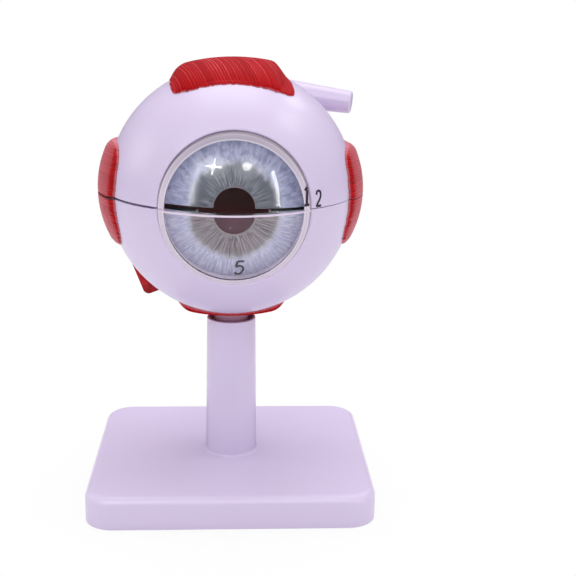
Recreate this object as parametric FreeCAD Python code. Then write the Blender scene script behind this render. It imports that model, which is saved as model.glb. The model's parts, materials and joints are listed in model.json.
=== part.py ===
"""Take-apart model of the human eye, five times life size, on a post and a base.

Millimetres, +Z up.  The origin is the middle of the underside of the base.
The eye looks along -Y, +X is the nasal side and -X the temporal side of a right eye.

The wall of the ball (sclera) splits at its equator, and the clear window at the
front (cornea) and the side muscles split with it.  Inside lies a second, smaller
ball, split the same way: iris, ciliary ring, choroid and retina.  It holds the lens
and the clear filling (vitreous).  Everything lifts out upwards, one after the other.
"""
import FreeCAD
import Part

import math
import os

# ---- stand ---------------------------------------------------------------
base_width = 139.0            # along X
base_depth = 123.0            # along Y
base_height = 15.5
base_corner = 14.0            # corner radius seen from above
base_edge = 4.0               # rounding of the top edge
base_wall = 3.0
base_rib = 2.0                # thickness of the ribs under the plate
post_height = 71.1            # from the plate to the rim of the post
post_top_radius = 12.2
post_foot_radius = 13.0
post_wall = 2.5
post_foot_fillet = 1.2
post_mouth_depth = 7.0        # open cup at the top of the post
post_mouth_wall = 1.3
spigot_radius = 8.6           # peg under the ball that turns in the post
spigot_clearance = 0.06
spigot_end_gap = 0.1
socket_depth = 28.6           # from the rim of the post to the floor of the socket
socket_floor = 3.0
boss_radius = 4.6             # screw boss inside the post
screw_radius = 1.6
screw_clearance = 0.1
screw_depth = 13.0            # how far the screw reaches into the post
screw_head_radius = 3.6
screw_head_height = 2.4
screw_slot = 1.0
washer_radius = 5.6
washer_thickness = 0.9
collar_height = 4.0           # ring on the base that centres the post
collar_wall = 2.0
plate_boss_wall = 3.0         # wall round the screw's head under the plate
fit_clearance = 0.1

# ---- wall of the ball ----------------------------------------------------
ball_radius = 60.0
ball_seat = 3.9               # lowest point of the ball above the rim of the post
ball_wall = 4.7
gaze_turn = 1.7               # degrees that the ball stands turned on its post
opening_radius = 34.4         # round hole for the cornea
opening_round = 0.7
glue_line = 0.25              # gap between pieces that are glued together
lid_gap = 0.2                 # seam of the ball on its closed side
lid_tilt = 0.5                # degrees: the seam stands open on the temporal side
pin_radius = 1.2
pin_height = 3.2              # how far a pin stands out of the lower rim
pin_depth = 5.0
pin_glue = 0.04
pin_freedom = 0.3             # clearance of a pin in the upper half
pin_end_room = 1.3            # room above the tip of a pin
pin_angles = (-8, 90, 188)    # one at each side and one at the back

# ---- cornea --------------------------------------------------------------
cornea_wall = 2.4
cornea_rise = 16.54           # apex in front of the plane of the opening
cornea_stop = 4.8             # its wall ends this far in front of the rim of the iris
cornea_collar = 1.04          # straight part of the wall in front of that plane
cornea_turn = 3.0             # depth of the rounding between wall and dome
cornea_inset = 1.25           # and its width

# ---- inner ball ----------------------------------------------------------
inner_room = 3.8              # between the inner ball and the wall, all round
inner_rest = 0.33             # gap left where the inner ball rests on the wall
choroid_wall = 2.6
retina_wall = 1.2
inner_back = 2.3              # the inner ball lies this far back
inner_lift = 2.7              # opening between its two halves
inner_tilt = 1.5              # degrees that its upper half leans
inner_pin_radius = 0.7
inner_pin_hole = 1.6          # blind depth of its holes in the upper half
white_zone = 58.0             # degrees from the front pole to the dark choroid
retina_edge = 60.0            # degrees from the front pole to the front of the retina
iris_radius = 33.0
iris_bulge = 60.0             # radius of the domed front of the iris
iris_sink = 2.1               # apex of the iris behind the round of the inner ball
iris_thickness = 1.6
pupil_radius = 9.3
seat_gap = 0.3
seat_ledge = 2.3              # ledge behind the rim of the iris
seat_front = 2.0              # bore of the lens seat in front of the lens
fold_count = 36               # folds of the ciliary body
fold_width = 1.3
fold_depth = 1.6

# ---- lens and filling ----------------------------------------------------
lens_radius = 16.7
lens_sink = 12.0              # plane of its rim behind the round of the inner ball
lens_edge = 1.0
lens_front = 5.5              # height of the front dome
lens_back = 7.0               # height of the back dome
lens_lip = 1.3                # lip that stops the lens going backwards
vitreous_gap = 0.3
vitreous_room = 0.5           # flat front behind the seam of ring and choroid
vitreous_wall = 2.0
vitreous_round = 2.0          # easing of the rim of the flat front

# ---- muscles, tendon and nerve -------------------------------------------
ragged = 0.013                # how far a muscle's edge wanders, as a share
superior_centre = (-1.7, -3.5)
superior_half = (28.3, 25.6)
superior_taper = -0.06        # it narrows towards the back
superior_lean = -0.09         # and leans to the temporal side
superior_bow = 1.5            # how far its ends bulge in the middle
superior_crest = 2.0          # highest line of its back, on the nasal side
superior_rise = 3.9           # that line above the round of the ball
superior_arch = 43.0          # radius of its back, front to back
superior_crown = 95.0         # and from side to side
superior_shoulders = (26.3, 18.3)      # width of the back to each side of that line
superior_fall = 1.35          # slope of the sides
superior_ease = 6.0           # rounding between back and sides
pad_rise = 0.8                # thickness where the round back has run out
side_centre = (2.5, -0.25)
side_half = (28.0, 24.25)
side_bulge = (15.5, 1.5, 1.0)
side_rise = 4.8
inferior_centre = (0.0, 3.0)
inferior_half = (28.0, 17.0)
inferior_rise = 1.9
inferior_arch = 48.0
inferior_crown = 100.0
inferior_shoulder = 22.5
inferior_fall = 1.1
inferior_ease = 5.0
inferior_hole_room = 0.6      # between the muscle and the peg
strip_lean = 21.0             # degrees: lower strip against the vertical
strip_place = 27.0            # its middle behind the centre of the ball
strip_width = 13.0
strip_thickness = 8.0
strip_length = 38.6           # from where it is square to the ball to its loose end
strip_swell = 17.0            # over which it grows from nothing to its thickness
strip_start = 5.0
strip_corner = 3.0
tendon_root_radius = 7.0
tendon_end_radius = 5.6
tendon_edge = 1.2             # rounding of its flat end
tendon_seat = (14.0, 37.0, 46.6)       # direction of its middle from the centre
tendon_rise = 0.3             # its middle above the round of the ball
tendon_direction = (0.965, -0.240, -0.103)
tendon_inner = 14.0           # length from its middle to the inner end
tendon_outer = 49.0           # and to the outer end
nerve_place = (13.0, -11.0)   # X and Z where the nerve leaves the ball
nerve_root_radius = 8.6
nerve_end_radius = 7.4
nerve_length = 16.0           # behind the round of the ball
nerve_lean = 8.0              # degrees towards the nasal side

far = 200.0                   # larger than the whole model


def vector(x, y, z):
    """Short name for a point or direction."""
    return FreeCAD.Vector(x, y, z)


def block(x0, x1, y0, y1, z0, z1):
    """Box between two corners."""
    return Part.makeBox(x1 - x0, y1 - y0, z1 - z0, vector(x0, y0, z0))


def rod(radius, z0, z1, x=0.0, y=0.0):
    """Upright cylinder from z0 to z1."""
    return Part.makeCylinder(radius, z1 - z0, vector(x, y, z0))


def above(z):
    """Everything higher than z."""
    return block(-far, far, -far, far, z, far)


def below(z):
    """Everything lower than z."""
    return block(-far, far, -far, far, -far, z)


def turned(axis, start, *steps):
    """Solid of revolution from an outline of (radius, height) points.

    Heights run along the axis.  A step is the next point, or a pair of points
    (middle, end) for an arc.  The outline closes by itself.
    """
    def place(point):
        if axis == "z":
            return vector(point[0], 0, point[1])
        return vector(point[0], point[1], 0)

    edges = []
    here = start
    for step in steps + (start,):
        if isinstance(step[0], tuple):
            middle, end = step
            edges.append(Part.Arc(place(here), place(middle), place(end)).toShape())
        else:
            end = step
            edges.append(Part.LineSegment(place(here), place(end)).toShape())
        here = end
    face = Part.Face(Part.Wire(edges))
    line = vector(0, 0, 1) if axis == "z" else vector(0, 1, 0)
    return face.revolve(vector(0, 0, 0), line, 360)


def polar(radius, degrees):
    """Point of a turned outline, counted in degrees from the front pole."""
    angle = math.radians(degrees)
    return (radius * math.sin(angle), -radius * math.cos(angle))


def arc(radius, first, last):
    """Arc step about the centre, between two angles from the front pole."""
    return (polar(radius, (first + last) / 2), polar(radius, last))


def dome(reach, radius, offset):
    """Depth of a domed front at a distance from its axis."""
    return -reach + radius - math.sqrt(radius ** 2 - offset ** 2)


def post_top_z():
    """Height of the rim of the post."""
    return base_height + post_height


def socket_floor_z():
    """Height of the floor of the socket, on which the peg turns."""
    return post_top_z() - socket_depth


def ball_height():
    """Centre of the ball above the table."""
    return post_top_z() + ball_seat + ball_radius


def inner_radius():
    """Outside of the inner ball."""
    return ball_radius - ball_wall - inner_room


def iris_reach():
    """Apex of the iris in front of the inner centre."""
    return inner_radius() - iris_sink


def inner_drop():
    """How far the inner ball lies below the centre, so that it rests on the wall."""
    return math.sqrt((inner_room - inner_rest) ** 2 - inner_back ** 2)


def lens_place():
    """Plane of the rim of the lens in front of the inner centre."""
    return inner_radius() - lens_sink


# ---- stand ---------------------------------------------------------------
def base_plate():
    """Rounded plate, hollow underneath, with ribs, a screw boss and a collar."""
    half_w = base_width / 2
    half_d = base_depth / 2
    plate = block(-half_w, half_w, -half_d, half_d, 0, base_height)
    plate = plate.makeFillet(base_corner, upright_edges(plate))
    plate = plate.makeFillet(base_edge, edges_at(plate, base_height))
    room = block(-half_w + base_wall, half_w - base_wall,
                 -half_d + base_wall, half_d - base_wall, -1, base_height - base_wall)
    room = room.makeFillet(base_corner - base_wall, upright_edges(room))
    ribs = block(-half_w, half_w, -base_rib / 2, base_rib / 2, rib_z(), base_height)
    for side in (-1, 1):
        x = side * base_width / 4
        ribs = ribs.fuse(block(x - base_rib / 2, x + base_rib / 2, -half_d, half_d,
                               rib_z(), base_height))
    boss = rod(washer_radius + plate_boss_wall, screw_seat_z(), base_height)
    plate = plate.cut(room.cut(ribs.fuse(boss)))
    collar = rod(collar_radius(), base_height - base_wall, base_height + collar_height)
    bore = rod(collar_radius() - collar_wall, base_height, base_height + 2 * collar_height)
    plate = plate.fuse(collar.cut(bore))
    plate = plate.cut(rod(washer_radius + fit_clearance, 0, screw_seat_z()))
    return plate.cut(rod(screw_radius + screw_clearance, 0, base_height + 1)).removeSplitter()


def rib_z():
    """Underside of the ribs, a little above the rim that stands on the table."""
    return base_wall


def screw_seat_z():
    """Underside of the boss, deep enough to hide the washer and the screw's head."""
    return base_wall / 2 + screw_head_height + washer_thickness


def collar_radius():
    """Outside of the centring collar, a fit in the foot of the post."""
    return post_foot_radius - post_wall - fit_clearance


def upright_edges(shape):
    """Edges that run straight up."""
    found = []
    for edge in shape.Edges:
        first = edge.Vertexes[0].Point
        last = edge.Vertexes[-1].Point
        if abs(first.z - last.z) > 1 and abs(first.x - last.x) + abs(first.y - last.y) < 1e-6:
            found.append(edge)
    return found


def edges_at(shape, z):
    """Edges that lie wholly at one height."""
    return [edge for edge in shape.Edges
            if abs(edge.BoundBox.ZMin - z) < 1e-6 and abs(edge.BoundBox.ZMax - z) < 1e-6]


def post():
    """Tapered tube with a cup at its mouth, a socket for the peg and a screw boss."""
    foot_z = base_height
    top_z = post_top_z()
    floor_z = socket_floor_z()
    slope = (post_foot_radius - post_top_radius) / post_height
    cup_z = top_z - post_mouth_depth
    socket_radius = spigot_radius + spigot_clearance
    under_z = floor_z - socket_floor
    under_radius = post_top_radius + slope * (top_z - under_z) - post_wall
    foot = post_foot_fillet
    return turned(
        "z", (screw_radius + screw_clearance, foot_z),
        (boss_radius, foot_z),
        (boss_radius, under_z),
        (under_radius, under_z),
        (post_foot_radius - post_wall, foot_z),
        (post_foot_radius + foot, foot_z),
        ((post_foot_radius + 0.3 * foot, foot_z + 0.3 * foot),
         (post_foot_radius - slope * foot, foot_z + foot)),
        (post_top_radius, top_z - 0.5),
        ((post_top_radius - 0.15, top_z - 0.15), (post_top_radius - 0.5, top_z)),
        (post_top_radius - post_mouth_wall, top_z),
        (post_top_radius - post_mouth_wall, cup_z + 1),
        (socket_radius, cup_z - 1),
        (socket_radius, floor_z),
        (screw_radius + screw_clearance, floor_z))


def post_screw():
    """Cross-head screw that holds the post from below."""
    top_z = base_height + screw_depth
    seat_z = screw_seat_z() - washer_thickness
    head_z = seat_z - screw_head_height
    screw = turned(
        "z", (0, head_z),
        (screw_head_radius - 0.8, head_z),
        ((screw_head_radius - 0.2, head_z + 0.3), (screw_head_radius, head_z + 1.0)),
        (screw_head_radius, seat_z),
        (screw_radius, seat_z),
        (screw_radius, top_z - 1.5),
        (0, top_z))
    arm = screw_head_radius * 0.6
    for x, y in ((arm, screw_slot / 2), (screw_slot / 2, arm)):
        screw = screw.cut(block(-x, x, -y, y, head_z - 1, head_z + screw_head_height / 2))
    return screw


def post_washer():
    """Flat washer between the screw and the boss of the base."""
    seat_z = screw_seat_z()
    ring = rod(washer_radius, seat_z - washer_thickness, seat_z)
    return ring.cut(rod(screw_radius + 2 * screw_clearance, 0, base_height))


# ---- wall of the ball ----------------------------------------------------
def ball_shell():
    """The whole wall with its round opening, before it is split."""
    inside = ball_radius - ball_wall
    outer_edge = math.degrees(math.asin(opening_radius / ball_radius))
    inner_edge = math.degrees(math.asin(opening_radius / inside))
    shell = turned(
        "y", polar(ball_radius, outer_edge),
        arc(ball_radius, outer_edge, 180),
        (0, inside),
        arc(inside, 180, inner_edge))
    rim_y = polar(ball_radius, outer_edge)[1]
    rim = [edge for edge in shell.Edges if abs(edge.BoundBox.YMin - rim_y) < 1e-3
           and abs(edge.BoundBox.YMax - rim_y) < 1e-3]
    return shell.makeFillet(opening_round, rim)


def pin_places(circle):
    """Middles of the pins on their circle."""
    return [(circle * math.cos(math.radians(angle)), circle * math.sin(math.radians(angle)))
            for angle in pin_angles]


def pins(places, radius, bottom, tops):
    """Upright pins as one group of solids."""
    made = []
    for (x, y), top in zip(places, tops):
        tip = radius / 2
        pin = rod(radius, bottom, top - tip, x, y)
        made.append(pin.fuse(Part.makeCone(radius, radius - tip / 2, tip, vector(x, y, top - tip))))
    return Part.makeCompound([pin.removeSplitter() for pin in made])


def rim_circle():
    """Circle through the middle of the wall of the ball."""
    return ball_radius - ball_wall / 2


def sclera_lower():
    """Lower half of the wall, with the peg that turns in the post."""
    half = ball_shell().cut(above(0))
    peg_end = socket_floor_z() + spigot_end_gap - ball_height()
    peg_top = -ball_radius + ball_wall / 2
    peg = turned(
        "z", (0, peg_end),
        (spigot_radius - 1, peg_end),
        (spigot_radius, peg_end + 1),
        (spigot_radius, peg_top),
        (0, peg_top))
    half = half.fuse(peg).removeSplitter()
    for x, y in pin_places(rim_circle()):
        half = half.cut(rod(pin_radius + pin_glue, -pin_depth - pin_glue, 1, x, y))
    return half


def sclera_upper():
    """Upper half of the wall, with the holes for the pins."""
    half = ball_shell().cut(below(0))
    for x, y in pin_places(rim_circle()):
        half = half.cut(rod(pin_radius + pin_freedom, -1, pin_height + pin_end_room, x, y))
    return half


def rim_pins():
    """Pins that line up the two halves of the ball."""
    return pins(pin_places(rim_circle()), pin_radius, -pin_depth, [pin_height] * 3)


def lid(shape):
    """Place of the upper half: just above the lower one and open on one side."""
    placed = shape.copy()
    placed.rotate(vector(ball_radius, 0, 0), vector(0, 1, 0), lid_tilt)
    placed.translate(vector(0, 0, lid_gap))
    return placed


# ---- cornea --------------------------------------------------------------
def cornea():
    """Clear cap: a straight wall inside the opening and a flatter dome."""
    outer = opening_radius - glue_line
    inside = outer - cornea_wall
    rim = outer - cornea_inset
    plane = math.sqrt(ball_radius ** 2 - opening_radius ** 2)
    back = cornea_stop - inner_back - dome(iris_reach(), iris_bulge, iris_radius)
    shoulder = plane + cornea_collar
    reach = plane + cornea_rise
    rise = reach - shoulder - cornea_turn
    radius = (rim ** 2 + rise ** 2) / (2 * rise)
    inner_reach = reach - cornea_wall
    inner_ball = radius - cornea_wall
    inner_rim = rim - cornea_wall
    corner = (outer - 0.25 * cornea_inset, -shoulder - 0.6 * cornea_turn)
    return turned(
        "y", (outer, -back),
        (outer, -shoulder),
        (corner, (rim, dome(reach, radius, rim))),
        ((rim / 2, dome(reach, radius, rim / 2)), (0, -reach)),
        (0, -inner_reach),
        ((inner_rim / 2, dome(inner_reach, inner_ball, inner_rim / 2)),
         (inner_rim, dome(inner_reach, inner_ball, inner_rim))),
        (inside, -shoulder),
        (inside, -back))


# ---- inner ball ----------------------------------------------------------
def choroid():
    """Dark outer shell of the inner ball, behind the white zone."""
    inside = inner_radius() - choroid_wall
    return turned(
        "y", polar(inner_radius(), white_zone),
        arc(inner_radius(), white_zone, 180),
        (0, inside),
        arc(inside, 180, white_zone))


def retina():
    """Thin lining of the choroid."""
    outside = inner_radius() - choroid_wall - glue_line
    inside = outside - retina_wall
    return turned(
        "y", polar(outside, retina_edge),
        arc(outside, retina_edge, 180),
        (0, inside),
        arc(inside, 180, retina_edge))


def ciliary_ring():
    """White front zone with the folded ring that carries the iris and the lens."""
    seat = iris_radius + seat_gap
    outside = inner_radius()
    seat_angle = math.degrees(math.asin(seat / outside))
    joint_angle = white_zone - math.degrees(glue_line / outside)
    inside = outside - choroid_wall
    rim_back = dome(iris_reach(), iris_bulge, iris_radius) + iris_thickness
    ledge_y = rim_back + seat_gap
    bore = lens_radius + seat_gap
    front_y = -lens_place() - lens_edge / 2 - seat_front
    lip_y = -lens_place() + lens_edge / 2 + lens_lip + seat_gap
    folds_y = lip_y + 1.2
    ring = turned(
        "y", polar(outside, seat_angle),
        arc(outside, seat_angle, joint_angle),
        polar(inside, joint_angle),
        (bore + 9, folds_y + 3.5),
        (bore + 1, folds_y),
        (bore - lens_lip, folds_y),
        (bore - lens_lip, lip_y),
        (bore, lip_y),
        (bore, front_y),
        (bore + seat_front, front_y),
        (seat - seat_ledge, ledge_y),
        (seat, ledge_y))
    return ring.cut(fold_cutters(bore + 1, folds_y))


def fold_cutters(start, face_y):
    """Radial grooves behind the lens that leave the folds of the ciliary body."""
    groove = block(start, start + 11, face_y - fold_depth / 2, face_y + 20,
                   -fold_width / 2, fold_width / 2)
    cutters = []
    for number in range(fold_count):
        cutter = groove.copy()
        degrees = 360 * (number + 0.5) / fold_count
        cutter.rotate(vector(start, face_y, 0), vector(0, 0, 1), 20)
        cutter.rotate(vector(0, 0, 0), vector(0, 1, 0), degrees)
        cutters.append(cutter)
    return Part.makeCompound(cutters)


def iris():
    """Domed disc with the pupil."""
    front_rim = dome(iris_reach(), iris_bulge, iris_radius)
    front_pupil = dome(iris_reach(), iris_bulge, pupil_radius)
    middle = (iris_radius + pupil_radius) / 2
    front_middle = dome(iris_reach(), iris_bulge, middle)
    return turned(
        "y", (iris_radius, front_rim),
        ((middle, front_middle), (pupil_radius, front_pupil)),
        (pupil_radius, front_pupil + iris_thickness),
        ((middle, front_middle + iris_thickness), (iris_radius, front_rim + iris_thickness)))


def inner_lower(shape):
    """Lower half of a piece of the inner ball, in its place."""
    half = shape.cut(above(0))
    half.translate(vector(0, inner_back, -inner_drop()))
    return half


def inner_upper(shape):
    """Upper half of a piece of the inner ball, lifted and leaning in its place."""
    half = shape.cut(below(0))
    half.rotate(vector(0, 0, 0), vector(0, 1, 0), inner_tilt)
    half.translate(vector(0, inner_back, inner_lift - inner_drop()))
    return half


def inner_pin_places():
    """Pins stand in the middle of the choroid's wall."""
    return pin_places(inner_radius() - choroid_wall / 2)


def inner_pins():
    """Pins on which the upper half of the inner ball stands a little open."""
    slope = math.tan(math.radians(inner_tilt))
    tops = [inner_lift - x * slope + inner_pin_hole - seat_gap
            for x, y in inner_pin_places()]
    made = pins(inner_pin_places(), inner_pin_radius, -pin_depth, tops)
    made.translate(vector(0, inner_back, -inner_drop()))
    return made


def choroid_lower():
    """Lower dark shell with its pin holes."""
    shape = choroid()
    for x, y in inner_pin_places():
        shape = shape.cut(rod(inner_pin_radius + pin_glue, -pin_depth - pin_glue, 1, x, y))
    return inner_lower(shape)


def choroid_upper():
    """Upper dark shell with its blind pin holes."""
    shape = choroid()
    for x, y in inner_pin_places():
        shape = shape.cut(rod(inner_pin_radius + pin_freedom, -1, inner_pin_hole, x, y))
    return inner_upper(shape)


# ---- lens and filling ----------------------------------------------------
def cap_middle(radius, height):
    """Distance from the rim plane of a shallow dome at half its radius."""
    bow = (radius ** 2 + height ** 2) / (2 * height)
    return height - bow + math.sqrt(bow ** 2 - (radius / 2) ** 2)


def lens():
    """Clear lens: a flatter front, a fuller back and a narrow rim."""
    front = -lens_place() - lens_edge / 2
    back = -lens_place() + lens_edge / 2
    half = lens_radius / 2
    shape = turned(
        "y", (lens_radius, front),
        ((half, front - cap_middle(lens_radius, lens_front)), (0, front - lens_front)),
        (0, back + lens_back),
        ((half, back + cap_middle(lens_radius, lens_back)), (lens_radius, back)))
    shape.translate(vector(0, inner_back, -inner_drop()))
    return shape


def faced_ball(radius, face, rounding):
    """Ball with a flat front and an eased rim."""
    edge = math.degrees(math.acos(face / radius))
    eased = edge + math.degrees(rounding / radius)
    face_radius = radius * math.sin(math.radians(edge))
    return turned(
        "y", (0, -face),
        (face_radius - rounding, -face),
        polar(radius, eased),
        arc(radius, eased, 180))


def vitreous_body():
    """Clear hollow ball that fills the eye, with a flat front behind the lens."""
    radius = inner_radius() - choroid_wall - glue_line - retina_wall - vitreous_gap
    seam = (inner_radius() - choroid_wall) * math.cos(math.radians(white_zone))
    face = seam - vitreous_room
    outside = faced_ball(radius, face, vitreous_round)
    inside = faced_ball(radius - vitreous_wall, face - vitreous_wall,
                        vitreous_round - vitreous_wall / 2)
    shape = outside.cut(inside)
    shape.translate(vector(0, inner_back, -inner_drop()))
    return shape


# ---- muscles, tendon and nerve -------------------------------------------
def muscle_outline(half, power=4, taper=0.0, lean=0.0, bow=0.0):
    """Rounded four-sided outline with a slightly ragged edge, as points.

    A higher power gives squarer corners.  The bow draws the ends in at their corners.
    """
    count = 60
    points = []
    for number in range(count):
        angle = 2 * math.pi * (number + 0.5) / count
        across = math.copysign(abs(math.cos(angle)) ** (2 / power), math.cos(angle))
        along = math.copysign(abs(math.sin(angle)) ** (2 / power), math.sin(angle))
        wander = 1 + ragged * (math.sin(17 * angle) + 0.7 * math.sin(29 * angle + 1))
        v = (half[1] - bow * across ** 2) * along * wander
        u = (half[0] + taper * v) * across * wander + lean * v
        points.append((u, v))
    return points


def prism(points, to_space, direction):
    """Long prism over a closed outline."""
    corners = [to_space(u, v) for u, v in points]
    wire = Part.makePolygon(corners + [corners[0]])
    return Part.Face(wire).extrude(direction)


def bed():
    """The round of the ball with the glue on it, on which muscles and tendon lie."""
    return Part.makeSphere(ball_radius + glue_line)


def belly(outline, centre, offset, rise):
    """Muscle: the part of a bulging ball inside an outline and outside the eye.

    The bulging ball is offset towards the muscle and tops the eye by the rise.
    """
    bulge = Part.makeSphere(ball_radius + rise - offset, vector(*centre))
    return outline.common(bulge).cut(bed())


def barrel_back(arch, crown, shoulders, fall, ease, reach):
    """Barrel whose round back is the back of a broad muscle, with its axis along X.

    Its outline is a wide arc, the crown, with a falling side at each end.  The arch
    is its greatest radius, shoulders and reach are counted from there along X.
    """
    left, right = shoulders
    left_rise = arch - dome(0, crown, left)
    right_rise = arch - dome(0, crown, right)
    barrel = turned(
        "y", (0, -reach),
        (left_rise - fall * (reach - left), -reach),
        (left_rise, -left),
        ((arch, 0), (right_rise, right)),
        (right_rise - fall * (reach - right), reach),
        (0, reach))
    edges = [edge for edge in barrel.Edges
             if abs(edge.BoundBox.YMax - edge.BoundBox.YMin) < 1e-6
             and min(abs(edge.BoundBox.YMax + left), abs(edge.BoundBox.YMax - right)) < 1e-3]
    barrel = barrel.makeFillet(ease, edges)
    barrel.rotate(vector(0, 0, 0), vector(0, 0, 1), -90)
    return barrel


def padded_back(outline, barrel):
    """Broad muscle inside an outline: a thin pad on the ball with a barrel's back on it."""
    pad = Part.makeSphere(ball_radius + pad_rise)
    return outline.common(barrel.fuse(pad)).cut(bed()).removeSplitter()


def superior_rectus():
    """Broad muscle on top of the ball."""
    x0, y0 = superior_centre
    points = muscle_outline(superior_half, 6, superior_taper, superior_lean, superior_bow)
    outline = prism(points, lambda u, v: vector(x0 + u, y0 + v, 0), vector(0, 0, far))
    barrel = barrel_back(superior_arch, superior_crown, superior_shoulders, superior_fall,
                         superior_ease, superior_half[0] + 6)
    barrel.translate(vector(superior_crest, 0, ball_radius + superior_rise - superior_arch))
    return padded_back(outline, barrel)


def side_rectus(side):
    """Whole muscle at one side of the ball, before it is split at the seam."""
    y0, z0 = side_centre
    outline = prism(muscle_outline(side_half),
                    lambda u, v: vector(0, y0 + u, z0 + v), vector(side * far, 0, 0))
    x, y, z = side_bulge
    return belly(outline, (side * x, y, z), x, side_rise)


def inferior_rectus():
    """Thin muscle under the ball, with a hole for the peg."""
    x0, y0 = inferior_centre
    outline = prism(muscle_outline(inferior_half),
                    lambda u, v: vector(x0 + u, y0 + v, 0), vector(0, 0, -far))
    barrel = barrel_back(inferior_arch, inferior_crown, (inferior_shoulder, inferior_shoulder),
                         inferior_fall, inferior_ease, inferior_half[0] + 6)
    barrel.translate(vector(x0, 0, inferior_arch - inferior_rise - ball_radius))
    hole = rod(spigot_radius + inferior_hole_room, -far, 0)
    return padded_back(outline, barrel).cut(hole)


def inferior_oblique():
    """Strip that starts under the temporal muscle and leaves the ball downwards.

    Its side view is an arc from the ball out to the full thickness, a straight back
    and a rounded loose end.
    """
    level = math.sqrt((ball_radius + glue_line) ** 2 - strip_place ** 2)
    back = level + strip_thickness
    front = level - strip_thickness / 2
    y0 = strip_place - strip_width / 2
    ease = strip_corner * (1 - math.sqrt(0.5))

    def place(x, z):
        return vector(x, y0, z)

    swell = place(level + 0.7 * strip_thickness, -(strip_start + strip_swell) / 2)
    edges = [
        Part.Arc(place(level, -strip_start), swell, place(back, -strip_swell)),
        Part.LineSegment(place(back, -strip_swell), place(back, strip_corner - strip_length)),
        Part.Arc(place(back, strip_corner - strip_length), place(back - ease, ease - strip_length),
                 place(back - strip_corner, -strip_length)),
        Part.LineSegment(place(back - strip_corner, -strip_length), place(level, -strip_length)),
        Part.LineSegment(place(level, -strip_length), place(front, -strip_start)),
        Part.LineSegment(place(front, -strip_start), place(level, -strip_start)),
    ]
    side = Part.Face(Part.Wire([edge.toShape() for edge in edges]))
    strip = side.extrude(vector(0, strip_width, 0))
    strip.rotate(vector(0, 0, 0), vector(0, 1, 0), strip_lean)
    return strip.mirror(vector(0, 0, 0), vector(1, 0, 0)).cut(bed())


def superior_oblique_tendon():
    """Tapered tendon, half sunk in the top of the ball, that sticks out on the nasal side."""
    along = vector(*tendon_direction)
    along.normalize()
    middle = vector(*tendon_seat)
    middle = middle.normalize() * (ball_radius + tendon_rise)
    root = tendon_root_radius
    tip = tendon_end_radius
    length = tendon_inner + tendon_outer
    corner = math.sqrt(0.5)
    body = turned(
        "y", (0, 0),
        ((root * corner, root * (1 - corner)), (root, root)),
        (root, tendon_inner + tendon_outer / 3),
        (tip, length - tendon_edge),
        ((tip - tendon_edge * (1 - corner), length - tendon_edge * (1 - corner)),
         (tip - tendon_edge, length)),
        (0, length))
    turn = FreeCAD.Rotation(vector(0, 1, 0), along)
    body.Placement = FreeCAD.Placement(middle - along * tendon_inner, turn)
    return body.cut(bed())


def optic_nerve():
    """Stub of the nerve at the back."""
    x, z = nerve_place
    lean = math.radians(nerve_lean)
    along = vector(math.sin(lean), math.cos(lean), 0)
    start_y = ball_radius / 2
    length = (ball_radius + nerve_length - start_y) / math.cos(lean)
    start = vector(x, start_y, z)
    slope = (nerve_end_radius - nerve_root_radius) / nerve_length
    root = nerve_root_radius - slope * (ball_radius - start_y)
    body = Part.makeCone(root, nerve_end_radius, length, start, along)
    return body.cut(bed())


# ---- assembly ------------------------------------------------------------
def on_post(shape):
    """Place of a piece of the eye: on the post and turned a little."""
    placed = shape.copy()
    placed.rotate(vector(0, 0, 0), vector(0, 0, 1), gaze_turn)
    placed.translate(vector(0, 0, ball_height()))
    return placed


def assembly():
    """Every piece by its name."""
    pieces = {
        "base_plate": base_plate(),
        "post": post(),
        "post_screw": post_screw(),
        "post_washer": post_washer(),
    }
    window = cornea()
    lateral = side_rectus(-1)
    medial = side_rectus(1)
    eye = {
        "sclera_lower": sclera_lower(),
        "sclera_upper": lid(sclera_upper()),
        "rim_pins": rim_pins(),
        "cornea_lower": window.cut(above(0)),
        "cornea_upper": lid(window.cut(below(0))),
        "choroid_lower": choroid_lower(),
        "choroid_upper": choroid_upper(),
        "inner_pins": inner_pins(),
        "lens": lens(),
        "vitreous_body": vitreous_body(),
        "lateral_rectus_lower": lateral.cut(above(0)),
        "lateral_rectus_upper": lid(lateral.cut(below(0))),
        "medial_rectus_lower": medial.cut(above(0)),
        "medial_rectus_upper": lid(medial.cut(below(0))),
        "superior_rectus": lid(superior_rectus()),
        "superior_oblique_tendon": lid(superior_oblique_tendon()),
        "inferior_rectus": inferior_rectus(),
        "inferior_oblique": inferior_oblique(),
        "optic_nerve": optic_nerve(),
    }
    for name, shape in (("iris", iris()), ("ciliary_ring", ciliary_ring()), ("retina", retina())):
        eye[name + "_lower"] = inner_lower(shape)
        eye[name + "_upper"] = inner_upper(shape)
    for name, shape in eye.items():
        pieces[name] = on_post(shape)
    return pieces


os.makedirs("parts", exist_ok=True)
for node, solid in assembly().items():
    solid.exportStep("parts/" + node + ".step")
    print(node, len(solid.Solids), round(solid.Volume), solid.isValid())
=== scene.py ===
"""Looks of a take-apart eye model: lilac ball and stand, red muscles, clear cornea.

Metres.  The eye looks along -Y, +X is its nasal side.  Shapes are worked out in
the eye's own frame, whose origin is the centre of the ball, and placed from there.
"""

import json
import math

import bpy
import numpy as np
from mathutils import Matrix, Vector


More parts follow.
